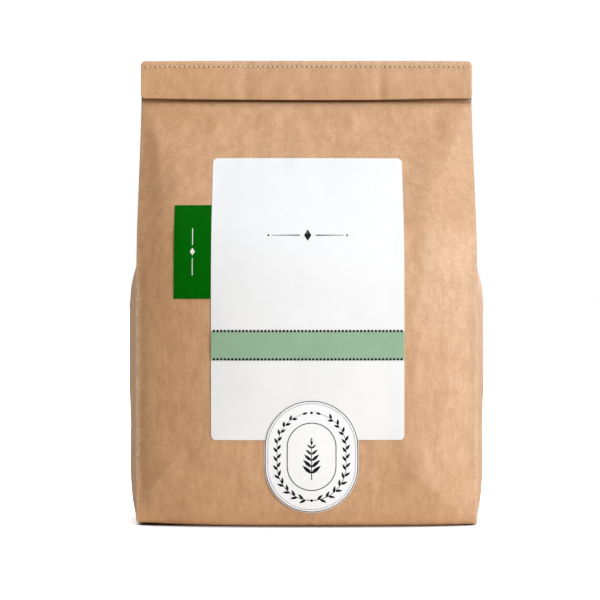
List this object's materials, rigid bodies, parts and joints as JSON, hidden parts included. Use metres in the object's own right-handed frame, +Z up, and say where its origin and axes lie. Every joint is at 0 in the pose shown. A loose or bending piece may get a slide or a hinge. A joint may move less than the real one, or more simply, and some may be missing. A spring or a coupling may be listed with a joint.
{
  "type": "filled kraft paper herb bag (dried bladderwrack)",
  "caption": "Closed side-gusset kraft paper bag of dried seaweed, block bottom, top rolled forward and stitched, with blank label, tab, band and seal.",
  "frame": {"origin": "middle of the flat bottom, on the surface the bag stands on", "axes": "+Z up, the labelled front faces -Y, +X to the right seen from the front"},
  "size_m": [0.19, 0.1292, 0.246],
  "materials": {
    "kraft_paper": "matte",
    "dried_seaweed": "matte",
    "white_label": "matte",
    "green_paper": "matte",
    "sage_paper": "matte",
    "white_seal": "matte",
    "cream_thread": "matte"
  },
  "bodies": {
    "root": {"paper_bag": "kraft_paper", "dried_bladderwrack": "dried_seaweed", "front_label": "white_label", "green_tab": "green_paper", "sage_band": "sage_paper", "seal_sticker": "white_seal", "stitch_thread_front": "cream_thread", "stitch_thread_back": "cream_thread"}
  },
  "joints": []
}
